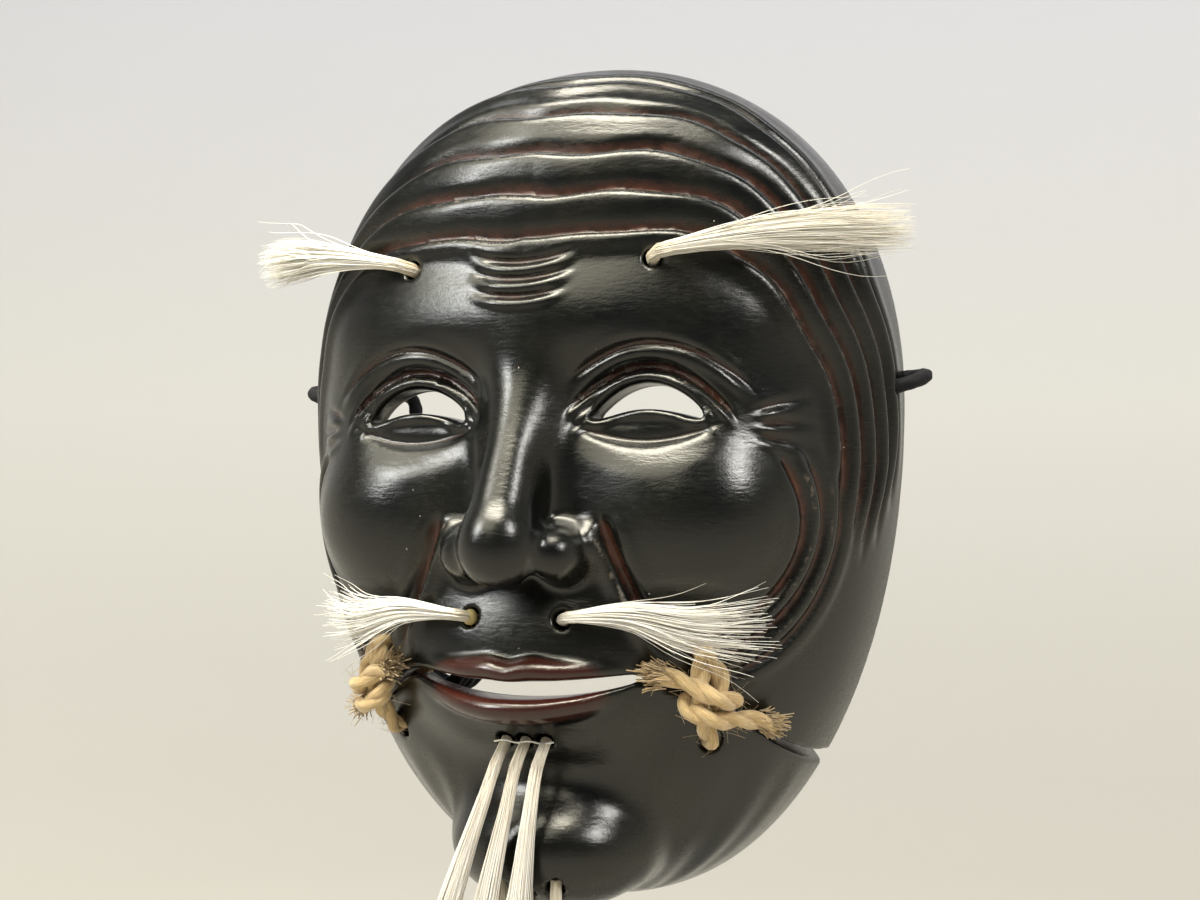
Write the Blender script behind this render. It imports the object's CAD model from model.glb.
"""Looks of the old-man noh mask: carved and lacquered shell and jaw, horsehair, hemp lashings, braided cords.

The carving is a distance field in millimetres, in the row's own frame: +Z up, face towards -Y.
"""

import math

import bpy
import numpy as np
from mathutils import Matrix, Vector


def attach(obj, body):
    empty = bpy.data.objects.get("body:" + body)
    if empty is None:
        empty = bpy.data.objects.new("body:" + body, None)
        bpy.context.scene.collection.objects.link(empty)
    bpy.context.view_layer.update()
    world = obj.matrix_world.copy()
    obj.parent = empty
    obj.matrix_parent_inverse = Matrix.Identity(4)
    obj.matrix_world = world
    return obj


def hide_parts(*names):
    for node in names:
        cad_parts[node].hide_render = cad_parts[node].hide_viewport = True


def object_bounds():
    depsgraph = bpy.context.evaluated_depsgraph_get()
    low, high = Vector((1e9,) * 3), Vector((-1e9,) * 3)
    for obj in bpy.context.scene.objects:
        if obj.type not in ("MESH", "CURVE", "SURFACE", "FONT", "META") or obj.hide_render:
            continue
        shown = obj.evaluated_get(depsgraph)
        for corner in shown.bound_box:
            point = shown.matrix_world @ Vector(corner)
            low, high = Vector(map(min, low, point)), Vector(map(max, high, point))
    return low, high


MM = 0.001
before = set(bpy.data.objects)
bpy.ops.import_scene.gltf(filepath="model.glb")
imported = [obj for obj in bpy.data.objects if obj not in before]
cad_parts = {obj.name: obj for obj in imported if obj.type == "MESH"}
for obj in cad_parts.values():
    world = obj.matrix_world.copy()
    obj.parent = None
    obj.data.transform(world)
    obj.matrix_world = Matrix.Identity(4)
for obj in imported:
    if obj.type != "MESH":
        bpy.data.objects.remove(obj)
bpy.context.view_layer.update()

SIDES = (("left", -1), ("right", 1))

# The carved blank, as the solids have it
HALF_WIDTH = 75.0
HALF_HEIGHT = 104.0
DOME_DEPTH = 60.0
WALL = 7.0
WIDEST_Z = 18.0
EYE = (29.0, 14.5)
EYE_HALF_WIDTH = 13.0
EYE_ARCH = 4.5
EYE_OPENING = 5.8
NOSE_TIP_Z = -18.0
BROW_Z = 35.0
CHIN_Z = -87.0
MOUTH_Z = -49.5
MOUTH_HALF = 27.0
MOUTH_LIFT = 3.0
MOUTH_OPENING = 3.6
CORNER_GAP = 1.4
SPLIT_SLOPE = 0.04
SPLIT_DROP = 0.0229
JAW_RELIEF = math.tan(math.radians(4.6))
HINGE_Y = -38.4
TIE_X = 40.0
TIE_R = 2.1
TIE_OFFSET = 10.5
BROW_ROOT = (30.5, 48.0)
MOUSTACHE_ROOT = (11.5, -33.5)
LIP_BEARD_Z = -62.0
LIP_BEARD_X = (-5.0, 0.0, 5.0)
LIP_BEARD_SWAY = (-34.0, -20.0, -11.0)
CHIN_BEARD = ((-6.5, -4.0), (0.0, 0.0), (7.0, 3.0))
CHIN_BEARD_Y = -53.0
EAR_HOLE = (-11.0, 21.0)

# Side cords: the route's points and the hank, as in the solids, in metres
CORD_R = 0.0018
CORD_LENGTH = 0.60
CORD_ROUTE = (
    (0.0676, -0.0110, 0.0210),
    (0.0712, -0.0110, 0.0210),
    (0.0748, -0.0109, 0.0213),
    (0.0780, -0.0096, 0.0222),
    (0.0800, -0.0070, 0.0233),
    (0.0806, -0.0038, 0.0242),
    (0.0798, -0.0006, 0.0247),
    (0.0775, 0.0020, 0.0248),
    (0.0742, 0.0031, 0.0246),
    (0.0706, 0.0032, 0.0243),
    (0.0668, 0.0031, 0.0240),
    (0.0630, 0.0023, 0.0232),
    (0.0597, 0.0004, 0.0209),
    (0.0575, -0.0027, 0.0168),
    (0.0561, -0.0061, 0.0121),
    (0.0553, -0.0090, 0.0077),
)
SLACK_FROM_X = 0.0712
LEFT_SLACK = 1.75  # the left cord stands farther off the rim than the right one
HANK_TOP = (0.0545, -0.0128, 0.0050)
HANK_BOTTOM = (0.0392, -0.0138, -0.0550)
HANK_LAYERS = 4

NET_PITCH = 2.0  # first grid of the carving, in mm; two quarterings make it 0.5
RANDOM = np.random.default_rng(7)


# ---------------------------------------------------------------- camera, stage and light


def new_object(name, verts, faces, material):
    """A smooth mesh object from points in metres."""
    mesh = bpy.data.meshes.new(name)
    mesh.from_pydata(np.asarray(verts).tolist(), [], faces)
    mesh.polygons.foreach_set("use_smooth", np.ones(len(faces), bool))
    mesh.materials.append(material)
    item = bpy.data.objects.new(name, mesh)
    bpy.context.collection.objects.link(item)
    return item


def make_camera():
    data = bpy.data.cameras.new("camera")
    data.lens, data.sensor_width = 56.6, 36.0
    data.clip_start = 0.01
    item = bpy.data.objects.new("camera", data)
    bpy.context.collection.objects.link(item)
    azimuth, elevation, distance = math.radians(22.6), math.radians(-2.8), 0.458
    level = Vector((math.sin(azimuth), -math.cos(azimuth), 0))
    away = level * math.cos(elevation) + Vector((0, 0, math.sin(elevation)))
    right = Vector((math.cos(azimuth), math.sin(azimuth), 0))
    target = Vector((0, -0.030, 0.0062)) + right * 0.0068
    item.location = target + away * distance
    item.rotation_euler = (-away).to_track_quat("-Z", "Y").to_euler()
    item.rotation_euler.rotate_axis("Z", math.radians(0.5))
    bpy.context.scene.camera = item


def area_light(name, place, aim, size, power, colour):
    data = bpy.data.lights.new(name, "AREA")
    data.shape, data.energy, data.color = "RECTANGLE", power, colour
    data.size, data.size_y = size
    item = bpy.data.objects.new(name, data)
    bpy.context.collection.objects.link(item)
    item.location = place
    item.rotation_euler = (Vector(aim) - Vector(place)).to_track_quat("-Z", "Y").to_euler()


def make_stage():
    """A round seamless sweep: a flat floor that rises into a wall, dimmer in front of the face."""
    floor_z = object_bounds()[0][2] - 0.012
    flat, bend, wall_top, around = 0.45, 1.35, 2.6, 72
    profile = [(0.0, 0.0), (flat, 0.0)]
    for k in range(1, 13):
        turn = math.pi / 2 * k / 12
        profile.append((flat + bend * math.sin(turn), bend * (1 - math.cos(turn))))
    profile.append((flat + bend, wall_top))
    verts, faces = [], []
    for ring, (r, z) in enumerate(profile):
        for k in range(around):
            turn = 2 * math.pi * k / around
            verts.append((r * math.cos(turn), r * math.sin(turn), z + floor_z))
            if ring:
                low, high, after = (ring - 1) * around, ring * around, (k + 1) % around
                faces.append((low + k, low + after, high + after, high + k))
    kit = Nodes("sweep_paper", 0.9)
    _, depth, height = kit.node("ShaderNodeSeparateXYZ", {0: kit.position()}).outputs
    stops = ((0.0, (0.38, 0.363, 0.322)), (0.35, (0.55, 0.537, 0.495)), (1.0, (0.655, 0.65, 0.68)))
    paper = kit.ramp(kit.map_range(height, floor_z, floor_z + 0.9), stops)
    dim = kit.map_range(depth, -0.95, -0.05, 1.0, 0.0)
    kit.base(kit.mix(dim, paper, (0.085, 0.085, 0.09)))
    new_object("sweep", verts, faces, kit.made)


def make_light():
    world = bpy.data.worlds.new("room")
    world.use_nodes = True
    glow = world.node_tree.nodes["Background"].inputs
    glow["Color"].default_value, glow["Strength"].default_value = (0.86, 0.93, 1.0, 1), 0.12
    bpy.context.scene.world = world
    area_light("ceiling", (-0.10, -0.40, 0.95), (0, 0.0, 0.0), (0.7, 0.4), 22, (1.0, 0.96, 0.85))
    area_light("soft_sky", (-0.38, -0.68, 0.80), (0, 0, 0.02), (1.1, 0.8), 10, (1.0, 0.97, 0.82))
    area_light("window_left", (-0.72, -0.80, 0.55), (0, 0, 0.02), (0.16, 0.5), 8, (0.92, 0.95, 1.0))
    area_light("window_right", (0.80, -0.60, 0.70), (0, 0, 0.02), (0.22, 0.34), 8, (0.98, 0.98, 1.0))
    area_light("backdrop_light", (0.0, 0.50, 1.25), (0, 1.50, -0.10), (1.8, 0.4), 9.5, (0.97, 0.98, 1.0))
    bpy.context.scene.view_settings.view_transform = "Standard"


# ---------------------------------------------------------------- node materials


class Nodes:
    """A Principled material and short calls that add nodes to it."""

    def __init__(self, name, roughness, **values):
        self.made = bpy.data.materials.new(name)
        self.made.use_nodes = True
        self.tree = self.made.node_tree
        self.shader = self.tree.nodes["Principled BSDF"]
        for key, value in {"Roughness": roughness, **values}.items():
            self.shader.inputs[key].default_value = value

    def link(self, source, target):
        if isinstance(source, (int, float)):
            target.default_value = source
        elif isinstance(source, tuple):
            target.default_value = (*source, 1.0)
        else:
            self.tree.links.new(source, target)

    def node(self, kind, inputs, **settings):
        made = self.tree.nodes.new(kind)
        for key, value in settings.items():
            setattr(made, key, value)
        for key, value in inputs.items():
            self.link(value, made.inputs[key])
        return made

    def position(self):
        return self.node("ShaderNodeTexCoord", {}).outputs["Object"]

    def attribute(self, name, output="Fac"):
        return self.node("ShaderNodeAttribute", {}, attribute_name=name).outputs[output]

    def scaled(self, vector, scale):
        made = self.node("ShaderNodeVectorMath", {0: vector}, operation="MULTIPLY")
        made.inputs[1].default_value = scale
        return made.outputs[0]

    def noise(self, vector, scale, detail=4.0, rough=0.55):
        inputs = {"Vector": vector, "Scale": scale, "Detail": detail, "Roughness": rough}
        return self.node("ShaderNodeTexNoise", inputs).outputs["Fac"]

    def cells(self, vector, scale, feature="F1"):
        made = self.node("ShaderNodeTexVoronoi", {"Vector": vector, "Scale": scale}, feature=feature)
        return made.outputs["Distance"]

    def math(self, operation, a, b, clamp=False):
        return self.node("ShaderNodeMath", {0: a, 1: b}, operation=operation, use_clamp=clamp).outputs[0]

    def times(self, a, b, clamp=False):
        return self.math("MULTIPLY", a, b, clamp)

    def plus(self, a, b, clamp=False):
        return self.math("ADD", a, b, clamp)

    def map_range(self, value, low, high, to_low=0.0, to_high=1.0):
        inputs = {"Value": value, "From Min": low, "From Max": high, "To Min": to_low, "To Max": to_high}
        return self.node("ShaderNodeMapRange", inputs).outputs["Result"]

    def mix(self, share, a, b):
        return self.node("ShaderNodeMix", {0: share, 6: a, 7: b}, data_type="RGBA").outputs[2]

    def ramp(self, value, stops):
        made = self.node("ShaderNodeValToRGB", {"Fac": value})
        points = made.color_ramp.elements
        while len(points) < len(stops):
            points.new(0.5)
        for point, (place, colour) in zip(points, stops):
            point.position = place
            point.color = (*colour, 1.0)
        return made.outputs["Color"]

    def base(self, colour):
        self.link(colour, self.shader.inputs["Base Color"])

    def bump(self, height, strength, distance):
        made = self.node("ShaderNodeBump", {"Strength": strength, "Distance": distance, "Height": height})
        self.link(made.outputs["Normal"], self.shader.inputs["Normal"])


def lacquer():
    """Brushed black over a red-brown ground, worn on the crests, with a plainer brown-black inside."""
    sheen = {"Specular IOR Level": 0.55, "Specular Tint": (1.0, 0.98, 0.90, 1)}
    kit = Nodes("black_lacquer", 0.3, **sheen)
    at = kit.position()
    groove, ridge = kit.attribute("groove"), kit.attribute("ridge")
    lip, inside = kit.attribute("lip"), kit.attribute("inside")
    clouds = kit.noise(at, 55, 5)
    grain = kit.noise(kit.scaled(at, (1.0, 1.0, 3.2)), 380, 5, 0.6)
    fine = kit.noise(at, 1900, 4, 0.6)
    black = kit.mix(kit.map_range(clouds, 0.35, 0.7), (0.0008, 0.0016, 0.0022), (0.0046, 0.0046, 0.0026))
    black = kit.mix(kit.times(grain, 0.25), black, (0.008, 0.0076, 0.006))
    broken = kit.map_range(kit.noise(at, 240, 5, 0.7), 0.36, 0.60)
    patchy = kit.map_range(broken, 0, 1, 0.25, 1.0)
    red = kit.times(kit.map_range(groove, 0.25, 0.95), patchy, True)
    colour = kit.mix(kit.times(red, 0.75), black, (0.085, 0.024, 0.011))
    rubbed = kit.map_range(kit.noise(at, 420, 6, 0.75), 0.52, 0.68)
    worn = kit.times(kit.map_range(ridge, 0.55, 1.0), rubbed, True)
    colour = kit.mix(kit.times(worn, 0.55), colour, (0.20, 0.165, 0.125))
    painted = kit.times(lip, kit.map_range(clouds, 0.2, 0.8, 0.6, 0.95), True)
    colour = kit.mix(painted, colour, (0.058, 0.0135, 0.0085))
    brown = kit.mix(clouds, (0.020, 0.010, 0.006), (0.042, 0.021, 0.012))
    colour = kit.mix(inside, colour, brown)
    chips = kit.map_range(kit.cells(at, 210), 0.045, 0.030)
    few = kit.map_range(kit.noise(at, 38, 2), 0.60, 0.64)
    chips = kit.times(chips, few, True)
    colour = kit.mix(chips, colour, (0.42, 0.36, 0.28))
    kit.base(colour)
    rough = kit.map_range(clouds, 0.25, 0.75, 0.17, 0.29)
    rough = kit.plus(rough, kit.times(kit.math("SUBTRACT", grain, 0.5), 0.22))
    rough = kit.plus(rough, kit.times(kit.plus(red, worn), 0.22))
    rough = kit.plus(rough, kit.times(inside, 0.16), True)
    kit.link(rough, kit.shader.inputs["Roughness"])
    chisel = kit.times(kit.cells(kit.scaled(at, (1.0, 1.0, 0.45)), 130, "SMOOTH_F1"), inside)
    height = kit.plus(kit.times(grain, 0.22), kit.times(fine, 0.10))
    for layer, weight in ((clouds, 0.25), (chips, -0.25), (chisel, 1.6)):
        height = kit.plus(height, kit.times(layer, weight))
    kit.bump(height, 0.6, 0.0005)
    return kit.made


def hair(name, root, tip):
    """Horsehair: every strand has its own tone, and the sheen of a bundle."""
    scatter = {"Subsurface Weight": 0.15, "Subsurface Radius": (0.0006, 0.0005, 0.0003)}
    kit = Nodes(name, 0.42, **scatter, **{"Sheen Weight": 0.2})
    tone, along = kit.attribute("tone"), kit.attribute("along")
    colour = kit.mix(kit.map_range(along, 0.0, 0.25), root, tip)
    colour = kit.mix(kit.map_range(tone, 0.55, 1.0, 0.0, 0.45), colour, (0.42, 0.33, 0.20))
    colour = kit.mix(kit.map_range(tone, 0.0, 0.3, 0.5, 0.0), colour, (0.92, 0.89, 0.82))
    kit.base(colour)
    return kit.made


def hemp():
    """Golden bast fibre: streaks along each ply."""
    kit = Nodes("hemp_cord", 0.8, **{"Sheen Weight": 0.35})
    ply = kit.attribute("ply", "Vector")
    streaks = kit.noise(kit.scaled(ply, (5.0, 5.0, 0.35)), 1.0, 5, 0.65)
    blotch = kit.noise(kit.position(), 300, 3)
    stops = ((0.25, (0.34, 0.21, 0.09)), (0.5, (0.56, 0.39, 0.175)), (0.72, (0.82, 0.64, 0.36)))
    colour = kit.ramp(streaks, stops)
    colour = kit.mix(kit.map_range(blotch, 0.4, 0.7, 0.0, 0.40), colour, (0.66, 0.46, 0.20))
    kit.base(colour)
    kit.bump(streaks, 0.8, 0.0003)
    return kit.made


def resin():
    """Yellowish glue at a root."""
    kit = Nodes("root_glue", 0.35)
    kit.base((0.42, 0.33, 0.13))
    return kit.made


def braid_silk():
    """Dull black silk; the braid itself is in the mesh."""
    kit = Nodes("black_braid", 0.72, **{"Specular IOR Level": 0.25})
    threads = kit.noise(kit.position(), 3800, 2)
    colour = kit.mix(threads, (0.0015, 0.0015, 0.002), (0.010, 0.010, 0.011))
    kit.base(colour)
    kit.bump(threads, 0.5, 0.0002)
    return kit.made


# ---------------------------------------------------------------- the carving as a distance field, in mm


def union(a, b, blend):
    """Both forms, with a fillet about blend wide between them."""
    share = np.clip(0.5 + 0.5 * (b - a) / blend, 0.0, 1.0)
    return b * (1 - share) + a * share - blend * share * (1 - share)


def take(a, b, blend):
    """What is left of a without b."""
    return -union(-a, b, blend)


def step(value, low, high):
    share = np.clip((value - low) / (high - low), 0.0, 1.0)
    return share * share * (3 - 2 * share)


def bell(offset, width):
    return np.exp(-((offset / width) ** 2))


def dome(x, y, z):
    top, bottom = HALF_HEIGHT - WIDEST_Z, HALF_HEIGHT + WIDEST_Z
    reach = np.where(z > WIDEST_Z, top, bottom)
    u, v = np.abs(x) / HALF_WIDTH, np.abs(z - WIDEST_Z) / reach
    n, p, q = 2.1, 3.0, 2.2
    radius = np.maximum((u**n + v**n) ** (1 / n), 1e-6)
    depth = np.maximum(-y / DOME_DEPTH, 0.0)
    level = radius**p + depth**q - 1
    outward = p * radius ** (p - n)
    slope = np.sqrt(
        (outward * u ** (n - 1) / HALF_WIDTH) ** 2
        + (q * depth ** (q - 1) / DOME_DEPTH) ** 2
        + (outward * v ** (n - 1) / reach) ** 2
    )
    return level / np.maximum(slope, 0.002)


def ellipsoid(x, y, z, centre, radii):
    scaled = [(c - o) / r for c, o, r in zip((x, y, z), centre, radii)]
    near = np.sqrt(sum(s * s for s in scaled))
    slope = np.sqrt(sum((s / r) ** 2 for s, r in zip(scaled, radii)))
    return near * (near - 1) / np.maximum(slope, 1e-6)


def bar(x, y, z, start, end, start_r, end_r):
    along = [e - s for s, e in zip(start, end)]
    offset = [c - s for c, s in zip((x, y, z), start)]
    share = np.clip(sum(o * a for o, a in zip(offset, along)) / sum(a * a for a in along), 0.0, 1.0)
    gap = np.sqrt(sum((o - share * a) ** 2 for o, a in zip(offset, along)))
    return gap - (start_r + share * (end_r - start_r))


def eye_curve(x):
    """Middle and half opening of the eye slit at a distance x from the middle of the face."""
    share = (x - EYE[0]) / EYE_HALF_WIDTH
    middle = EYE[1] + EYE_ARCH * (1 - share**2) - EYE_ARCH / 2
    return middle, EYE_OPENING / 2 * np.sqrt(np.maximum(1 - share**2, 0.0)), share


def split_z(x):
    """Height of the parting line between shell and jaw."""
    beyond = np.maximum(x - MOUTH_HALF, 0.0)
    smile = MOUTH_LIFT * np.minimum(x / MOUTH_HALF, 1.0) ** 2
    return MOUTH_Z + smile - SPLIT_SLOPE * beyond - SPLIT_DROP * beyond**2


def split_gap(x):
    share = np.minimum(x / MOUTH_HALF, 1.0)
    return CORNER_GAP + (MOUTH_OPENING - CORNER_GAP) * np.sqrt(1 - share**2)


def form(x, y, z):
    """The big forms of the head, with no wrinkles."""
    x = np.abs(x)
    rounded_x = np.sqrt(x * x + 30)  # keeps the brow smooth where its two halves meet
    brow = bar(rounded_x, y, z, (6, -51, BROW_Z), (46, -38, BROW_Z), 9.0, 8.0)
    cheek = ellipsoid(x, y, z, (36, -43, -10), (21, 16, 16))
    muzzle = ellipsoid(x, y, z, (0, -47, MOUTH_Z + 6), (32, 16, 20))
    chin = ellipsoid(x, y, z, (0, -38, CHIN_Z), (25, 20, 15))
    socket = ellipsoid(x, y, z, (EYE[0], -66, EYE[1] + 2), (20, 14, 11.5))
    eyeball = ellipsoid(x, y, z, (EYE[0], -44.5, EYE[1]), (16.5, 11.5, 10.5))
    bridge = bar(x, y, z, (0, -52, BROW_Z - 6), (0, -69.5, NOSE_TIP_Z + 4), 6.0, 8.2)
    nose_tip = ellipsoid(x, y, z, (0, -70, NOSE_TIP_Z), (9.5, 9.2, 8.8))
    nose_wing = ellipsoid(x, y, z, (11.5, -62, NOSE_TIP_Z - 1), (6.2, 8.2, 6.5))
    d = union(dome(x, y, z), brow, 12.0)
    d = union(d, cheek, 14.0)
    d = union(d, muzzle, 10.0)
    d = union(d, chin, 10.0)
    d = take(d, socket, 8.0)
    d = union(d, eyeball, 3.0)
    d = union(d, bridge, 8.0)
    d = union(d, nose_tip, 4.0)
    return union(d, nose_wing, 4.0)


def lips(x, y, z):
    """Distances to the upper and the lower lip."""
    x = np.abs(x)
    bow = 1.1 * bell(x - 5.5, 4.0) - 0.9 * bell(x, 3.0)
    taper = np.sqrt(np.maximum(1 - (x / (MOUTH_HALF + 2)) ** 2, 0.02))
    sweep = y + 62.8 - 0.0135 * x**2
    upper_z = z - (split_z(x) + split_gap(x) / 2 + 2.1 * taper + bow * 0.5)
    lower_z = z - (split_z(x) - split_gap(x) / 2 - 2.6 * taper)
    upper = np.sqrt((sweep * 0.62) ** 2 + upper_z**2) - 3.1 * taper
    lower = np.sqrt(((sweep - 1.2) * 0.62) ** 2 + lower_z**2) - 3.5 * taper
    return upper, lower


class Relief:
    """Carved lines over the big forms: height, depth in a line (groove) and nearness to a crest (ridge)."""

    def __init__(self, x, y, z):
        self.x, self.y, self.z = np.abs(x), y, z
        self.height, self.groove, self.ridge = (np.zeros_like(x) for _ in range(3))
        self.wander = 0.5 * np.sin(x * 0.11 + z * 0.07 + 1.0) + 0.35 * np.sin(x * 0.23 - z * 0.19)
        self.side_x = 58 * np.arctan2(self.x, np.maximum(-y, 0.5))  # way round the head from its middle
        self.front = step(-y, 4.0, 14.0)

    def fold(self, offset, amount, width=1.0, lip=2.6, side=-1):
        """A cut line with a raised lip on one side of it and a lower one on the other."""
        line = bell(offset, width)
        crest = bell(offset - side * lip, lip * 0.62)
        far = bell(offset + side * lip * 0.8, lip * 0.7)
        edge = bell(offset - side * lip * 0.8, lip * 0.30)
        shown = np.clip(amount, 0, 1)
        self.height = self.height + amount * (0.95 * crest + 0.35 * far - 1.25 * line)
        self.groove = np.maximum(self.groove, line * shown)
        self.ridge = np.maximum(self.ridge, edge * shown)

    def forehead(self):
        """Five furrows across the forehead and down the temples, then three short ones between the brows.

        Each has a place in the middle and at the temple, from 0 in the middle of the face to 1 on the
        rim, and an end: 0 is straight up, 1 is level with the mask's middle.
        """
        x, y, z = self.x, self.y, self.z
        off_axis = np.arctan2(np.hypot(x, z), np.maximum(-y, 0.0) + 1e-6) / (math.pi / 2)
        t = (90 - np.degrees(np.arctan2(z, x))) / 90
        scale = 105.0 + 10 * step(t, 0.3, 1.0)
        middles = (0.515, 0.585, 0.655, 0.730, 0.812)
        temples = (0.735, 0.785, 0.832, 0.880, 0.928)
        ends = (1.02, 1.06, 1.10, 1.06, 0.98)
        for k, (middle, temple, end) in enumerate(zip(middles, temples, ends)):
            wave = 0.016 * np.sin(2 * math.pi * (1.45 * t + 0.62) + 0.22 * k) * (1 - step(t, 0.55, 0.95))
            dip = -0.020 * bell(t, 0.13) * (1 - 0.12 * k)
            place = middle + (temple - middle) * step(t, 0.10, 1.0) + wave + dip
            offset = (off_axis - place) * scale + self.wander * 0.8
            amount = (1 - step(t, end - 0.10, end + 0.10)) * (1.45 + 0.05 * k)
            self.fold(offset, amount, 1.05, 3.1)
        for k in range(3):
            offset = z - (39.5 + 4.2 * k + 0.016 * x**2) + self.wander * 0.3
            self.fold(offset, 0.66 * (1 - step(x, 4.0 + k, 14.0 + k)) * (y < -30), 0.8, 1.8)

    def eyes(self):
        """A rim round the slit, a deep fold and a soft one above it, a bag below, and crow's feet."""
        x, y, z = self.x, self.y, self.z
        middle, half, share = eye_curve(x)
        near = (1 - step(np.abs(share), 1.0, 1.35)) * (y < -30)
        rim = 0.9 * bell(z - (middle + half) - 1.3, 1.2) + 0.7 * bell((middle - half) - z - 1.1, 1.1)
        self.height = self.height + near * rim
        beside = x - EYE[0]
        arch = EYE[1] + 9.2 - 8.8 * (beside / 17.5) ** 2
        self.fold(z - arch, 0.95 * (1 - step(np.abs(beside - 1.0), 15.5, 20.0)) * (y < -30), 0.9, 2.2)
        arch = EYE[1] + 14.2 - 9.0 * ((beside - 1.5) / 20.5) ** 2
        self.fold(z - arch, 0.62 * (1 - step(np.abs(beside - 3.0), 16.0, 22.0)) * (y < -25), 0.9, 2.6)
        sag = EYE[1] - 8.0 + 4.6 * (beside / 18.0) ** 2
        self.fold(z - sag, 0.42 * (1 - step(np.abs(beside), 12.0, 19.0)) * (y < -30), 1.0, 2.6, 1)
        run = self.side_x - 46
        crows_feet = ((0.42, -0.011, 55), (0.10, -0.009, 57), (-0.20, -0.007, 56))
        for k, (rise, bend, reach) in enumerate(crows_feet):
            path = EYE[1] - 1.5 - 2.2 * k + rise * run + bend * run**2
            tilt = np.sqrt(1 + (rise + 2 * bend * np.clip(run, 0, 30)) ** 2)
            span = step(run, -0.5, 5.0) * (1 - step(self.side_x, reach - 7, reach + 5))
            self.fold((z - path) / tilt, 0.62 * span * self.front, 1.0, 2.2)

    def cheeks(self):
        """The fold from nose to mouth, and arcs round the outside of the cheek."""
        x, y, z = self.x, self.y, self.z
        down = np.clip((-9 - z) / 34, 0.0, 1.0)
        beside = (self.side_x - 18.8 - 15.0 * down**1.3) / 1.12
        self.fold(beside, 1.2 * step(down, 0.0, 0.15) * (1 - step(down, 0.78, 0.98)) * (y < -25), 1.1, 3.0)
        across, up = self.side_x - 33.0, (z + 13.0) / 1.10
        angle = np.degrees(np.arctan2(up, across))
        above_jaw = z > split_z(x) + 2
        arcs = ((23.5, -78, 34, 0.95), (28.5, -70, 26, 0.85), (33.5, -62, 14, 0.65))
        for radius, start, end, amount in arcs:
            span = step(angle, start - 12, start + 6) * (1 - step(angle, end - 8, end + 12))
            offset = np.hypot(across, up) - radius - 0.015 * (angle + 20) + self.wander * 0.5
            self.fold(offset, amount * span * self.front * above_jaw, 0.95, 2.6, 1)

    def chin(self):
        """A crease under the lip, and soft facets down the jaw."""
        x, y, z = self.x, self.y, self.z
        crease = bell(z - (MOUTH_Z - 10.6 + 0.006 * x**2), 3.0)
        self.height = self.height - 0.55 * crease * (1 - step(x, 10.0, 22.0)) * (y < -30)
        facets = np.sin(self.side_x * 0.42 + 0.8) * step(self.side_x, 22.0, 34.0)
        self.height = self.height + 0.22 * facets * (1 - step(z, -74.0, -62.0)) * step(-y, 6.0, 18.0)


def relief(x, y, z):
    """Height, groove and ridge of all carved lines. They fade out at the rim."""
    lines = Relief(x, y, z)
    lines.forehead()
    lines.eyes()
    lines.cheeks()
    lines.chin()
    fade = step(-y, 0.6, 4.0)
    return lines.height * fade, lines.groove * fade, lines.ridge * fade


def unit(vectors):
    return vectors / np.linalg.norm(vectors, axis=-1, keepdims=True)


def hole(x, y, z, place, heading, radius, deep):
    """Distance to a round hole from 6 mm above its mouth to deep below it; heading is a unit vector."""
    place, heading = np.array(place), np.array(heading, float)
    start, end = place + heading * 6.0, place - heading * deep
    return bar(x, y, z, tuple(start), tuple(end), radius, radius)


def crossing(start, end):
    """Where the line from start to end, in mm, enters the uncut form."""
    low, high = np.array(start, float), np.array(end, float)
    for _ in range(40):
        middle = (low + high) / 2
        if form(*middle) > 0:
            low = middle
        else:
            high = middle
    return (low + high) / 2


def surface_point(x, z, lift=0.0):
    """Point of the uncut form at (x, z), moved out by lift along its normal, in mm."""
    point = crossing((x, -99.0, z), (x, 0.0, z))
    return point + surface_normal(point) * lift


def surface_normal(point):
    shift = 0.5 * np.eye(3)
    return unit(np.array([form(*(point + s)) - form(*(point - s)) for s in shift]))


def chin_mouth(x):
    """Mouth of a chin lock's hole, found from below."""
    return crossing((x, CHIN_BEARD_Y, -130.0), (x, CHIN_BEARD_Y, -70.0))


TIE_HIGH = float(split_z(TIE_X)) + TIE_OFFSET
TIE_LOW = float(split_z(TIE_X)) - TIE_OFFSET
THROUGH = 12.0  # depth of a hole that goes through the wall


def cut_hole(d, x, y, z, place, radius, deep, blend):
    """Takes a round hole along the surface's normal at place."""
    return take(d, hole(x, y, z, place, surface_normal(place), radius, deep), blend)


def cut_shell(d, x, y, z):
    """Parting line, eye slits, nostrils, and the holes of tufts, lashings and side cords."""
    d = take(d, z - split_z(x) - split_gap(x) / 2, 1.4)
    middle, half, share = eye_curve(x)
    slope = np.sqrt(1 + (2 * EYE_ARCH * share / EYE_HALF_WIDTH) ** 2)
    slit = np.maximum((np.abs(z - middle) - half) / slope, (np.abs(share) - 1) * EYE_HALF_WIDTH)
    d = take(d, np.maximum(slit, y + 25), 1.3)
    nostril = bar(x, y, z, (6.6, -69.0, NOSE_TIP_Z - 9.5), (7.4, -62.0, NOSE_TIP_Z - 1.0), 2.9, 2.0)
    d = take(d, nostril, 1.2)
    for root in (BROW_ROOT, MOUSTACHE_ROOT):
        d = cut_hole(d, x, y, z, surface_point(*root), 2.2, 3.8, 0.8)
    d = cut_hole(d, x, y, z, surface_point(TIE_X, TIE_HIGH), 3.0, THROUGH, 0.8)
    return take(d, hole(x, y, z, (HALF_WIDTH, *EAR_HOLE), (1, 0, 0), 2.6, 14.0), 1.0)


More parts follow.
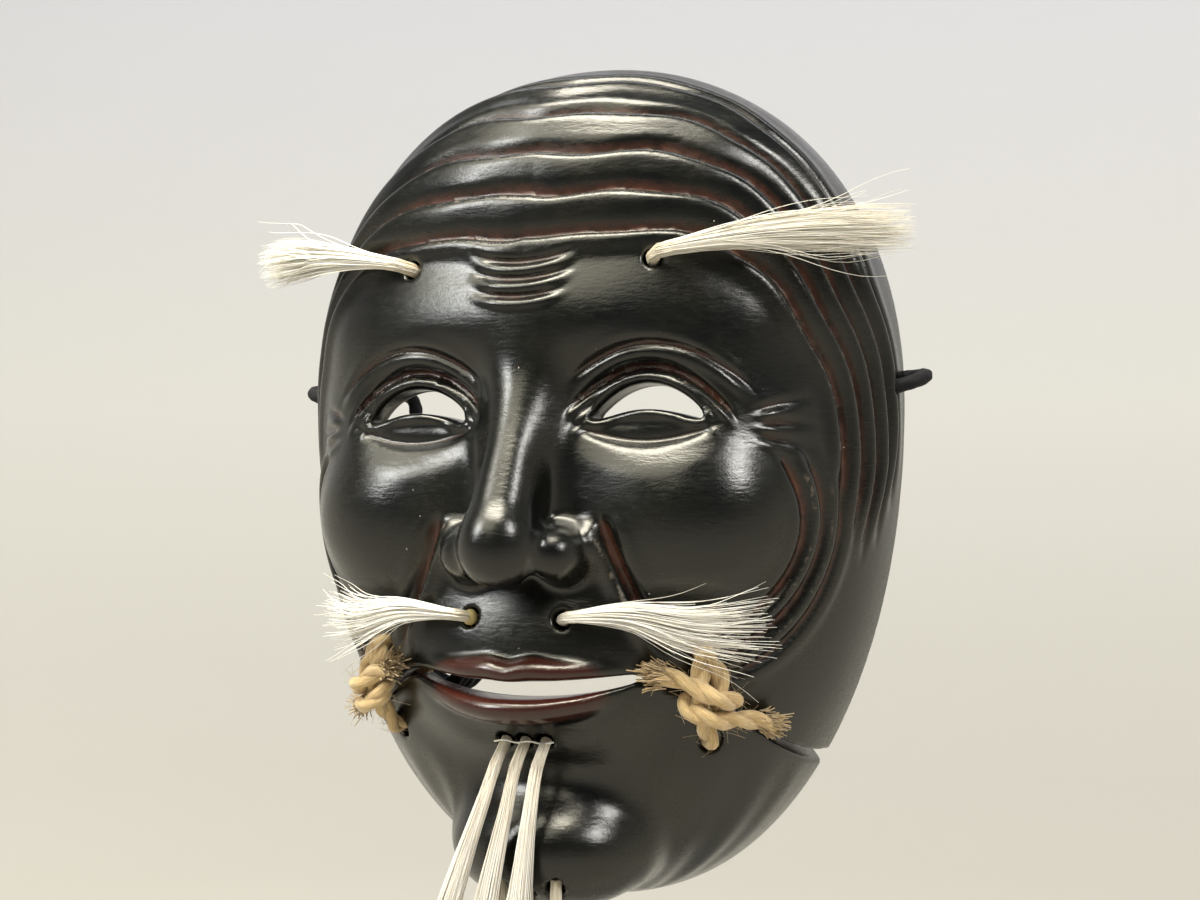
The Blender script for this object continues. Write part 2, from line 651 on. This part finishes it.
def cut_jaw(d, x, y, z):
    """Parting line, relieved behind the hinge, and the holes of lashings and beard."""
    ax = np.abs(x)
    relieved = JAW_RELIEF * np.maximum(y - HINGE_Y, 0.0)
    d = take(d, split_z(ax) - split_gap(ax) / 2 - relieved - z, 1.6)
    d = cut_hole(d, ax, y, z, surface_point(TIE_X, TIE_LOW), 2.8, THROUGH, 0.9)
    for root_x in LIP_BEARD_X:
        d = cut_hole(d, x, y, z, surface_point(root_x, LIP_BEARD_Z), 2.1, 3.5, 0.6)
    for root_x, _ in CHIN_BEARD:
        d = take(d, hole(x, y, z, chin_mouth(root_x), (0, 0, -1), 2.1, 3.5), 0.6)
    return d


def carved(x, y, z, part):
    """Distance to the finished shell or jaw."""
    plain = form(x, y, z)
    outer = plain - relief(x, y, z)[0]
    upper, lower = lips(x, y, z)
    outer = union(outer, upper if part == "shell" else lower, 1.6)
    d = take(np.maximum(outer, -(plain + WALL)), -y, 0.9)
    if part == "shell":
        return cut_shell(d, np.abs(x), y, z)
    return cut_jaw(d, x, y, z)


# ---------------------------------------------------------------- from field to mesh


def surface_net(values, origin, pitch):
    """Quads along the zero level of a sampled field: one vertex in each cell that the level crosses."""
    inside = values < 0
    shape = tuple(n - 1 for n in values.shape)
    corners = [(i, j, k) for i in (0, 1) for j in (0, 1) for k in (0, 1)]
    count = np.zeros(shape, np.int8)
    for i, j, k in corners:
        count += inside[i : i + shape[0], j : j + shape[1], k : k + shape[2]]
    cells = np.argwhere((count > 0) & (count < 8))
    number = np.full(shape, -1, np.int64)
    number[tuple(cells.T)] = np.arange(len(cells))
    at_corner = np.stack([values[tuple((cells + c).T)] for c in corners], axis=1)
    total, hits = np.zeros((len(cells), 3)), np.zeros(len(cells))
    for a in range(8):
        for b in range(a + 1, 8):
            if sum(p != q for p, q in zip(corners[a], corners[b])) != 1:
                continue
            va, vb = at_corner[:, a], at_corner[:, b]
            crossed = (va < 0) != (vb < 0)
            share = np.where(crossed, va / np.where(crossed, va - vb, 1), 0)[:, None]
            point = np.array(corners[a]) + share * (np.array(corners[b]) - np.array(corners[a]))
            total += np.where(crossed[:, None], point, 0)
            hits += crossed
    verts = origin + pitch * (cells + total / hits[:, None])
    quads = []
    for axis in range(3):
        first, second = (axis + 1) % 3, (axis + 2) % 3
        low = np.take(inside, range(values.shape[axis] - 1), axis)
        high = np.take(inside, range(1, values.shape[axis]), axis)
        edges = np.argwhere(low != high)
        edges = edges[(edges[:, first] > 0) & (edges[:, second] > 0)]
        edges = edges[(edges[:, first] < shape[first]) & (edges[:, second] < shape[second])]
        ring = []
        for da, db in ((1, 1), (0, 1), (0, 0), (1, 0)):
            cell = edges.copy()
            cell[:, first] -= da
            cell[:, second] -= db
            ring.append(number[tuple(cell.T)])
        ring = np.stack(ring, axis=1)
        outward = low[tuple(edges.T)]
        ring[~outward] = ring[~outward][:, ::-1]
        quads.append(ring)
    return verts, np.concatenate(quads)


def settle(verts, part, rounds, reach):
    """Moves vertices onto the zero level of the carving."""
    corners = np.array([(1, -1, -1), (-1, -1, 1), (-1, 1, -1), (1, 1, 1)]) * 0.18
    for _ in range(rounds):
        values = [carved(*(verts + c).T, part) for c in corners]
        slope = sum(v[:, None] * c for v, c in zip(values, corners)) / (4 * 0.18**2)
        level = sum(values) / 4
        move = level[:, None] * slope / np.maximum((slope**2).sum(1), 0.2)[:, None]
        length = np.linalg.norm(move, axis=1, keepdims=True)
        verts = verts - move * np.minimum(1, reach / np.maximum(length, 1e-9))
    return verts


def quarter(verts, quads):
    """Splits each quad into four."""
    pairs = np.sort(np.stack([quads, np.roll(quads, -1, axis=1)], axis=2).reshape(-1, 2), axis=1)
    edges, which = np.unique(pairs, axis=0, return_inverse=True)
    which = which.reshape(-1, 4) + len(verts)
    centre = np.arange(len(quads)) + len(verts) + len(edges)
    grown = np.concatenate([verts, verts[edges].mean(1), verts[quads].mean(1)])
    small = [np.stack([quads[:, k], which[:, k], centre, which[:, k - 1]], axis=1) for k in range(4)]
    return grown, np.concatenate(small)


def relax(verts, quads, share):
    """Moves each vertex part of the way to the mean of its neighbours, to even the quads out."""
    total, count = np.zeros_like(verts), np.zeros(len(verts))
    for k in range(4):
        a, b = quads[:, k], quads[:, (k + 1) % 4]
        for here, there in ((a, b), (b, a)):
            for axis in range(3):
                total[:, axis] += np.bincount(here, verts[there, axis], len(verts))
            count += np.bincount(here, minlength=len(verts))
    return verts + share * (total / np.maximum(count, 1)[:, None] - verts)


def sculpt(part, low, high, pitch):
    axes = [np.arange(a, b + pitch, pitch) for a, b in zip(low, high)]
    shape = tuple(len(a) for a in axes)
    grid = np.stack(np.meshgrid(*axes, indexing="ij"), axis=-1).reshape(-1, 3)
    values = np.concatenate([carved(*piece.T, part) for piece in np.array_split(grid, 12)]).reshape(shape)
    verts, quads = surface_net(values, np.array(low, float), pitch)
    verts = settle(relax(verts, quads, 0.5), part, 3, pitch * 0.5)
    for level in range(2):
        verts, quads = quarter(verts, quads)
        verts = relax(verts, quads, 0.35)
        verts = settle(verts, part, 2, pitch / 2 ** (level + 1))
    return verts, quads


def add_attribute(mesh, name, values):
    mesh.attributes.new(name, "FLOAT", "POINT").data.foreach_set("value", np.asarray(values, np.float32))


def make_carving(part, node, low, high, material):
    """The carved shell or jaw, with attributes that say where lines, crests, lips and the inside are."""
    verts, quads = sculpt(part, low, high, NET_PITCH)
    item = new_object(f"{node}_carved", verts * MM, quads.tolist(), material)
    x, y, z = verts.T
    _, groove, ridge = relief(x, y, z)
    plain = form(x, y, z)
    deep = step(-plain, 1.2, 2.8)
    upper, lower = lips(x, y, z)
    lip = (1 - step(np.minimum(upper, lower), -0.25, 0.35)) * (y < -45)
    mouth_edge = step(-plain, 0.4, 1.4) * (1 - step(np.abs(z - split_z(np.abs(x))), 2.0, 3.2))
    add_attribute(item.data, "groove", np.maximum(groove * (1 - deep), 0.8 * mouth_edge * (1 - lip)))
    add_attribute(item.data, "ridge", ridge * (1 - deep))
    add_attribute(item.data, "lip", lip)
    add_attribute(item.data, "inside", step(-plain, 4.0, 6.0) * (1 - lip))
    return item


# ---------------------------------------------------------------- strands


def directions(path):
    """Unit vectors along a path."""
    return unit(np.gradient(path, axis=0))


def untwisted_frame(path):
    """Unit vectors along a path, across it and across both, which turn no more than the path does."""
    along = directions(path)
    across = np.empty_like(path)
    previous = np.cross(along[0], (0.3, 0.2, 0.9))
    for k, heading in enumerate(along):
        previous = unit(previous - heading * (previous @ heading))
        across[k] = previous
    return along, across, np.cross(along, across)


def path_length(path):
    return np.linalg.norm(np.diff(path, axis=0), axis=1).sum()


def travel(path):
    """Distance along a path at each of its points."""
    return np.concatenate([[0], np.cumsum(np.linalg.norm(np.diff(path, axis=0), axis=1))])


def ring_quads(count, points, sides):
    """Faces between the neighbouring rings of one or more tubes."""
    base = np.arange(count * points * sides).reshape(count, points, sides)
    after = np.roll(base, -1, axis=2)
    faces = np.stack([base[:, :-1], after[:, :-1], after[:, 1:], base[:, 1:]], axis=-1)
    return faces.reshape(-1, 4).tolist()


def tubes(name, lines, radii, sides, material):
    """One mesh of tubes. lines is (tubes, points, 3), radii (tubes, points)."""
    lines, radii = np.asarray(lines), np.asarray(radii)
    count, points = lines.shape[:2]
    along = np.gradient(lines, axis=1)
    along /= np.maximum(np.linalg.norm(along, axis=2, keepdims=True), 1e-9)
    helper = np.where(np.abs(along[:, :1, 2:]) > 0.8, np.array([[[1.0, 0, 0]]]), np.array([[[0, 0, 1.0]]]))
    across = np.empty_like(lines)
    previous = np.cross(along[:, 0], helper[:, 0])
    for k in range(points):
        previous = previous - along[:, k] * (previous * along[:, k]).sum(1, keepdims=True)
        previous = previous / np.maximum(np.linalg.norm(previous, axis=1, keepdims=True), 1e-9)
        across[:, k] = previous
    other = np.cross(along, across)
    turns = 2 * np.pi * np.arange(sides) / sides
    ring = np.cos(turns)[:, None] * across[:, :, None, :] + np.sin(turns)[:, None] * other[:, :, None, :]
    verts = lines[:, :, None, :] + ring * radii[:, :, None, None]
    faces = ring_quads(count, points, sides)
    item = new_object(name, verts.reshape(-1, 3) * MM, faces, material)
    spread = np.broadcast_to(np.linspace(0, 1, points)[None, :, None], (count, points, sides))
    add_attribute(item.data, "along", spread.reshape(-1))
    tone = np.broadcast_to(RANDOM.random(count)[:, None, None], (count, points, sides))
    add_attribute(item.data, "tone", tone.reshape(-1))
    run = np.cumsum(np.linalg.norm(np.diff(lines, axis=1, prepend=lines[:, :1]), axis=2), axis=1)
    ply = np.empty((count, points, sides, 3), np.float32)
    ply[..., 0], ply[..., 1] = np.cos(turns), np.sin(turns)
    ply[..., 2] = run[:, :, None]
    item.data.attributes.new("ply", "FLOAT_VECTOR", "POINT").data.foreach_set("vector", ply.reshape(-1))
    return item


def smooth_path(points, count):
    """Evenly spaced points on a Catmull-Rom curve through the given ones."""
    points = np.asarray(points, float)
    padded = np.vstack([2 * points[0] - points[1], points, 2 * points[-1] - points[-2]])
    t = np.linspace(0, 1, 24, endpoint=False)[:, None]
    fine = []
    for a, b, c, d in zip(padded, padded[1:], padded[2:], padded[3:]):
        square, cube = 2 * a - 5 * b + 4 * c - d, 3 * b - a - 3 * c + d
        fine.append(0.5 * (2 * b + (c - a) * t + square * t**2 + cube * t**3))
    fine = np.vstack([*fine, points[-1]])
    travelled = travel(fine)
    places = np.linspace(0, travelled[-1], count)
    return np.stack([np.interp(places, travelled, fine[:, k]) for k in range(3)], axis=1)


def bundle(name, path, width, depth, count, material, stray, curl, shortest, thick=0.115, broad=(0, 0, 1)):
    """Strands along a path.

    width and depth are the bundle's half sizes at even places from root to tip. stray is the share of
    loose strands, curl how far they wander, shortest the length of the shortest as a share of the path,
    and broad the direction that width is measured in.
    """
    points = 18
    centre = smooth_path(path, points)
    along = directions(centre)
    across = np.array(broad, float) - along * (along @ np.array(broad, float))[:, None]
    across = unit(across)
    out = np.cross(along, across)
    t = np.linspace(0, 1, points)
    half_w = np.interp(t, np.linspace(0, 1, len(width)), width)
    half_d = np.interp(t, np.linspace(0, 1, len(depth)), depth)
    angle = RANDOM.random(count) * 2 * np.pi
    far = np.sqrt(RANDOM.random(count))
    loose = RANDOM.random(count) < stray
    reach = np.where(loose, 1.5 + 1.3 * RANDOM.random(count), 1.0)
    drift = RANDOM.normal(0, 0.16, (count, 2))
    wide = (far * np.cos(angle))[:, None] + drift[:, :1] * t
    high = (far * np.sin(angle))[:, None] + drift[:, 1:] * t
    spread = 1 + (reach[:, None] - 1) * t**1.6
    phase, pace = RANDOM.random((count, 2)) * 2 * np.pi, 2.0 + 3.0 * RANDOM.random((count, 2))
    bend = curl * (0.25 + 1.6 * loose)[:, None] * t**1.4
    wide_shift = wide * spread * half_w + bend * np.sin(pace[:, :1] * t * 3 + phase[:, :1])
    high_shift = high * spread * half_d + bend * np.sin(pace[:, 1:] * t * 3 + phase[:, 1:])
    cut_at = shortest + (1 - shortest) * RANDOM.random(count) ** 0.75
    lines = centre[None] + wide_shift[..., None] * across[None] + high_shift[..., None] * out[None]
    shortened = np.empty_like(lines)
    for k in range(count):
        places = t * cut_at[k]
        for axis in range(3):
            shortened[k, :, axis] = np.interp(places, t, lines[k, :, axis])
    taper = np.interp(t, [0, 0.6, 1.0], [1.0, 0.95, 0.35])
    radii = thick * (0.75 + 0.5 * RANDOM.random(count))[:, None] * taper
    return tubes(name, shortened, radii, 3, material)


def tuft_root(root, side):
    """Mouth of a tuft's hole and the way out of it."""
    mouth = surface_point(side * root[0], root[1])
    return mouth, surface_normal(mouth)


def make_brow(name, side, material):
    """A stiff tuft swept outwards and back."""
    mouth, out = tuft_root(BROW_ROOT, side)
    tip = mouth + np.array([side * 55.0, 22.0, 7.0])
    bend = mouth + out * 3.4 + np.array([side * 3.5, 0, 0.5])
    path = [
        mouth - out * 3,
        mouth,
        bend,
        bend + 0.35 * (tip - bend) + (0, -3.0, 1.0),
        bend + 0.7 * (tip - bend) + (0, -2.0, 0.8),
        tip,
    ]
    width = (1.5, 1.5, 2.4, 3.4, 4.4, 5.0, 4.8)
    depth = (1.5, 1.4, 1.8, 2.2, 2.6, 2.8, 2.7)
    return bundle(name, path, width, depth, 420, material, stray=0.07, curl=1.2, shortest=0.80)


def make_glue(side):
    """A drop of glue in the mouth of a moustache hole."""
    mouth, out = tuft_root(MOUSTACHE_ROOT, side)
    line = mouth + np.outer(np.linspace(-1.6, 1.3, 9), out)
    radii = 1.9 * np.sqrt(np.maximum(1 - np.linspace(-1, 1, 9) ** 2, 0.01))
    return tubes("glue", line[None], radii[None], 14, resin())


def make_row_strand(material):
    """A single hair threaded along the row of roots under the lip."""
    count = 18
    line = []
    for x in np.linspace(-7.5, 7.5, count):
        line.append(surface_point(x, LIP_BEARD_Z + 0.5 + 0.25 * math.sin(x), 0.45))
    return tubes("row_strand", np.array(line)[None], np.full((1, count), 0.22), 5, material)


def make_moustache(name, side, material):
    """A fan of strands that follows the cheek."""
    x, z = side * MOUSTACHE_ROOT[0], MOUSTACHE_ROOT[1]
    mouth, out = tuft_root(MOUSTACHE_ROOT, side)
    path = [mouth - out * 3, mouth, mouth + out * 3.0 + np.array([side * 2.5, 0, 0.0])]
    for share, rise, lift in ((0.35, 1.0, 6.0), (0.68, 1.2, 6.4), (1.0, 0.6, 6.4)):
        path.append(surface_point(x + side * 42 * share, z + rise, lift))
    width = (1.2, 1.3, 2.4, 3.8, 5.2, 6.6, 8.0)
    depth = (1.3, 1.2, 1.5, 1.9, 2.2, 2.4, 2.6)
    return bundle(name, path, width, depth, 270, material, stray=0.16, curl=0.45, shortest=0.45, thick=0.125)


def make_lip_lock(name, x, sway, material):
    """A lock from its hole under the lip, over the foremost point of the chin and down."""
    root = surface_point(x, LIP_BEARD_Z)
    heights = np.linspace(LIP_BEARD_Z - 3, -HALF_HEIGHT + 1, 24)
    front = min(surface_point(0.0, float(z))[1] for z in heights) - 3.2
    path = [
        root + np.array([0, 1.2, 0.7]),
        root + np.array([0, -1.2, -1.2]),
        root + np.array([sway * 0.01, -3.9, -4.0]),
        (x + sway * 0.07, front + 0.4, root[2] - 12),
        (x + sway * 0.22, front, root[2] - 26),
        (x + sway * 0.46, front, root[2] - 50.4),
        (x + sway * 0.75, front, root[2] - 84),
        (x + sway * 0.94, front, root[2] - 117.6),
        (x + sway, front, root[2] - 140),
    ]
    width = (1.2, 1.6, 2.5, 3.4, 4.2, 4.8, 5.2, 5.4, 5.6)
    depth = (1.1, 1.2, 1.5, 1.8, 2.1, 2.3, 2.5, 2.6, 2.7)
    loose = {"stray": 0.10, "curl": 2.0, "shortest": 0.50}
    return bundle(name, path, width, depth, 300, material, **loose, thick=0.11, broad=(1, 0, 0))


def make_chin_lock(name, x, sway, material):
    """A lock that hangs from its hole under the chin."""
    root = chin_mouth(x)
    path = [
        root + np.array([0, 0, 3.0]),
        root,
        root + np.array([sway * 0.15, -0.6, -14]),
        root + np.array([sway * 0.45, 0, -43]),
        root + np.array([sway * 0.8, 0.3, -74]),
        root + np.array([sway, 0, -95]),
    ]
    width = (1.2, 1.7, 2.3, 2.9, 3.4, 3.8, 4.0)
    depth = (1.2, 1.5, 1.9, 2.2, 2.5, 2.7, 2.8)
    loose = {"stray": 0.10, "curl": 1.6, "shortest": 0.50}
    return bundle(name, path, width, depth, 170, material, **loose, thick=0.11, broad=(1, 0, 0))


# ---------------------------------------------------------------- hemp lashings


def rope(name, paths, radius, material, fibres, frays):
    """Two-ply twisted cord along each path, with loose fibres and frayed ends, as one mesh."""
    items = []
    for line in paths:
        length = path_length(line)
        steps = max(24, int(length / 0.45))
        centre = smooth_path(line, steps)
        along, across, other = untwisted_frame(centre)
        turn = np.linspace(0, length / (radius * 7.4) * 2 * np.pi, steps)
        from_end = np.minimum(np.arange(steps), np.arange(steps)[::-1])
        for ply in range(2):
            spin = (turn + ply * np.pi)[:, None]
            line_ply = centre + radius * 0.42 * (np.cos(spin) * across + np.sin(spin) * other)
            uneven = 1 + 0.06 * np.sin(turn * 2.3 + ply)
            thick = radius * 0.66 * uneven * np.interp(from_end, [0, 3], [0.9, 1.0])
            items.append(tubes(name, line_ply[None], thick[None], 12, material))
        picks = RANDOM.integers(1, steps - 1, fibres)
        starts = centre[picks] + RANDOM.normal(0, radius * 0.55, (fibres, 3))
        heading = along[picks] * RANDOM.choice([-1, 1], fibres)[:, None] * 1.6
        heading = heading + RANDOM.normal(0, 0.55, (fibres, 3))
        t = np.linspace(0, 1, 7)[None, :, None]
        curl = RANDOM.normal(0, 1.0, (fibres, 1, 3))
        size = (1.2 + 2.8 * RANDOM.random(fibres))[:, None, None]
        hairs = starts[:, None] + heading[:, None] * t * size * 0.7 + curl * t**2 * 0.8
        items.append(tubes(name, hairs, np.full((fibres, 7), 0.040), 3, material))
    for end, heading in frays:
        count = 280
        heading = unit(heading)
        off = RANDOM.normal(0, radius * 0.48, (count, 3))
        starts = end - heading * 2.2 + off
        t = np.linspace(0, 1, 8)[None, :, None]
        spread = RANDOM.normal(0, 0.11, (count, 1, 3)) + 0.12 * off[:, None]
        size = (2.3 + 1.1 * RANDOM.random(count))[:, None, None]
        hairs = starts[:, None] + (heading[None, None] * t + spread * t**1.6) * size
        items.append(tubes(name, hairs, np.full((count, 8), 0.15), 3, material))
    return join(name, items)


def join(name, items):
    """Joins meshes that carry the same attributes into the first of them."""
    chosen = {"active_object": items[0], "selected_editable_objects": items, "selected_objects": items}
    with bpy.context.temp_override(**chosen):
        bpy.ops.object.join()
    items[0].name = name
    return items[0]


def make_tie(name, side, material):
    """A doubled strand through both holes, bound once round its middle, with two cut ends."""
    front, behind, inside = TIE_R + 0.4, -(WALL + TIE_R + 0.5), -WALL / 2
    knot = (TIE_HIGH + TIE_LOW) / 2 + 1.0

    def at(dx, z, lift):
        return surface_point(side * (TIE_X + dx), z, lift)

    loop = [
        at(0.6, TIE_HIGH, inside),
        at(0.5, TIE_HIGH - 0.6, 0.6),
        at(-0.6, TIE_HIGH - 3.4, front + 0.4),
        at(-1.7, knot + 2.5, front + 2.2),
        at(-1.8, knot - 2.5, front + 2.2),
        at(-0.9, TIE_LOW + 4.4, front + 0.5),
        at(0, TIE_LOW + 1.0, 0.8),
        at(0, TIE_LOW, inside),
        at(0, TIE_LOW + 1.0, behind + 1.0),
        at(0, (TIE_HIGH + TIE_LOW) / 2, behind),
        at(0, TIE_HIGH - 1.0, behind + 1.0),
        at(0.2, TIE_HIGH, inside),
    ]
    second = [
        at(0.8, TIE_HIGH, inside),
        at(1.4, TIE_HIGH - 0.8, 0.9),
        at(2.9, TIE_HIGH - 4.0, front + 0.7),
        at(2.3, knot + 1.5, front + 2.0),
        at(1.9, knot - 1.5, front + 1.6),
        at(2.6, knot - 4.0, front + 0.2),
    ]
    steps = ((-9.6, 5.2, 1.6), (-6.6, 4.6, 1.2), (-3.4, 3.6, 3.0), (0.6, 2.0, 5.6), (4.3, 0.4, 3.4))
    steps += ((3.8, -0.8, 0.6), (0.4, -0.4, -0.6), (-3.8, -0.1, 0.8), (-4.3, -1.2, 3.4), (-0.4, -2.6, 5.6))
    steps += ((3.8, -3.8, 3.2), (7.2, -4.6, 1.2), (10.6, -5.8, 1.4))
    wrap = [at(dx, knot + rise, front + lift) for dx, rise, lift in steps]
    loop, second, wrap = np.array(loop), np.array(second), np.array(wrap)
    frays = [(wrap[0], wrap[0] - wrap[1]), (wrap[-1], wrap[-1] - wrap[-2])]
    return rope(name, [loop, second, wrap], TIE_R, material, 240, frays)


# ---------------------------------------------------------------- braided side cords


def hank_axes(side):
    """Top, bottom and the three directions of a hank: along its runs, across them and through it."""
    top, bottom = np.array(HANK_TOP), np.array(HANK_BOTTOM)
    top[0] *= side
    bottom[0] *= side
    along = unit(bottom - top)
    through = unit(np.array([0, 1, 0]) - along * along[1])
    return top, bottom, along, np.cross(along, through), through


def cord_path(side):
    """The route, then the hank's runs up and down with a round fold between each, in metres."""
    top, bottom, along, across, through = hank_axes(side)
    route = np.array(CORD_ROUTE)
    if side < 0:
        route[:, 0] += (LEFT_SLACK - 1) * np.maximum(route[:, 0] - SLACK_FROM_X, 0)
    route *= (side, 1, 1)
    pitch = 2 * CORD_R
    fold = 2 * pitch
    middle = (top + bottom) / 2
    half = np.linalg.norm(bottom - top) / 2 - fold - CORD_R
    points = []

    def add(up, out, back):
        points.append(middle + along * up + across * side * out + through * back)

    def bend(way, start, end):
        for k in range(1, 12):
            turn = math.pi * k / 12
            rise = half + fold * math.sin(turn)
            add(way * rise, way * fold * math.cos(turn), start + (end - start) * k / 12)

    for layer in range(HANK_LAYERS):
        back = (HANK_LAYERS - 1) / 2 * pitch - layer * pitch
        for k in range(7):
            add(half * (k / 3 - 1), fold, back)
        bend(1, back, back)
        for k in range(7):
            add(-half * (k / 3 - 1), -fold, back)
        if layer < HANK_LAYERS - 1:
            bend(-1, back, back - pitch)
    line = np.vstack([route, points])
    return line[travel(line) <= CORD_LENGTH]


def braided_tube(name, line, radius, material, pitch=0.00042, sides=20):
    """Tube with the pattern of a round eight-strand braid, in metres, with closed ends."""
    length = path_length(line)
    steps = int(length / pitch)
    centre = smooth_path(line, steps)
    _, across, other = untwisted_frame(centre)
    turns = 2 * np.pi * np.arange(sides) / sides
    travelled = np.linspace(0, length, steps)[:, None] / radius
    right, left = turns * 2 + travelled * 1.15, turns * 2 - travelled * 1.15
    over = np.abs(np.cos(right)) * (1 + 0.5 * np.cos(left))
    under = np.abs(np.cos(left)) * (1 + 0.5 * np.cos(right))
    weave = np.maximum(over, under)
    thick = radius * (0.86 + 0.11 * weave)
    ends = np.minimum(np.arange(steps), np.arange(steps)[::-1])
    thick = thick * np.sqrt(np.clip((ends + 0.5) / 4.0, 0.05, 1.0))[:, None]
    ring = np.cos(turns)[:, None] * across[:, None] + np.sin(turns)[:, None] * other[:, None]
    verts = (centre[:, None] + ring * thick[..., None]).reshape(-1, 3)
    caps = [list(range(sides))[::-1], list(range((steps - 1) * sides, steps * sides))]
    return new_object(name, verts, ring_quads(1, steps, sides) + caps, material), centre


def make_knot(name, side, material):
    """A stopper knot: a tight trefoil in the end of the cord."""
    end = np.array(CORD_ROUTE[0]) * (side, 1, 1)
    middle = end - np.array([side * 0.0041, 0, 0])
    turn = np.linspace(0, 2 * np.pi, 60)
    size = 0.00105
    through = np.sin(3 * turn) * 0.9
    wide = np.sin(turn) + 2 * np.sin(2 * turn)
    high = np.cos(turn) - 2 * np.cos(2 * turn)
    ring = np.stack([through, wide, high], axis=1) * size * (side, 0.78, 0.78)
    item, _ = braided_tube(name, middle + ring, 0.00135, material, 0.0004, 12)
    return item


def make_hank_tie(name, side, material):
    """Three turns of thinner cord round the middle of the hank."""
    top, bottom, along, across, through = hank_axes(side)
    middle = (top + bottom) / 2
    half_w, half_t = 0.0092 + 0.0009, 0.0072 + 0.0009
    turn = np.linspace(0, 3 * 2 * np.pi, 110)
    wide, deep = np.cos(turn), np.sin(turn)
    boxy = (np.abs(wide) ** 4 + np.abs(deep) ** 4) ** 0.25
    climb = (turn / (2 * np.pi) - 1.5) * 0.0018
    line = middle + np.outer(wide / boxy * half_w, across) + np.outer(deep / boxy * half_t, through)
    line = line + np.outer(climb, along)
    item, _ = braided_tube(name, line, 0.00085, material, 0.0004, 10)
    return item


# ---------------------------------------------------------------- everything together


def place(item, body, node, slot):
    """Says which body a piece rides, which node it stands for and which material slot it has."""
    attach(item, body)
    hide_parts(node)


def main():
    make_camera()
    make_stage()
    make_light()
    silk = braid_silk()
    for name, side in SIDES:
        line = cord_path(side)
        cord, path = braided_tube(f"side_cord_{name}_braid", line, CORD_R, silk)
        knot = make_knot(f"ear_knot_{name}_tied", side, silk)
        tie = make_hank_tie(f"hank_tie_{name}_wound", side, silk)
        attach(cord, "mask")
        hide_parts(f"side_cord_{name}", f"cord_hank_{name}")
        place(knot, "mask", f"ear_knot_{name}", "black_braid")
        place(tie, "mask", f"hank_tie_{name}", "black_braid")
    black = lacquer()
    shell = make_carving("shell", "mask_shell", (-79, -84, -70), (79, 3, 108), black)
    place(shell, "mask", "mask_shell", "black_lacquer")
    jaw = make_carving("jaw", "jaw", (-60, -68, -108), (60, 3, -43), black)
    place(jaw, "jaw", "jaw", "black_lacquer")
    rope_fibre = hemp()
    bristle = hair("brow_bristle", (0.66, 0.55, 0.36), (0.93, 0.89, 0.78))
    moustache = hair("moustache_hair", (0.70, 0.60, 0.40), (0.94, 0.91, 0.83))
    beard = hair("beard_hair", (0.76, 0.67, 0.50), (0.93, 0.89, 0.80))
    for name, side in SIDES:
        place(make_tie(f"jaw_tie_{name}_rope", side, rope_fibre), "mask", f"jaw_tie_{name}", "hemp_cord")
        place(make_brow(f"brow_tuft_{name}_strands", side, bristle), "mask", f"brow_tuft_{name}", "bristle")
        tuft = make_moustache(f"moustache_{name}_strands", side, moustache)
        if side < 0:
            tuft = join(tuft.name, [tuft, make_glue(side)])
        place(tuft, "mask", f"moustache_{name}", "moustache_hair")
    for k, (x, sway) in enumerate(zip(LIP_BEARD_X, LIP_BEARD_SWAY), start=1):
        lock = make_lip_lock(f"lip_beard_{k}_strands", x, sway, beard)
        if x == 0:
            lock = join(lock.name, [lock, make_row_strand(beard)])
        place(lock, "lip_beard", f"lip_beard_{k}", "beard_hair")
    for k, (x, sway) in enumerate(CHIN_BEARD, start=1):
        lock = make_chin_lock(f"chin_beard_{k}_strands", x, sway, beard)
        place(lock, "chin_beard", f"chin_beard_{k}", "beard_hair")


main()
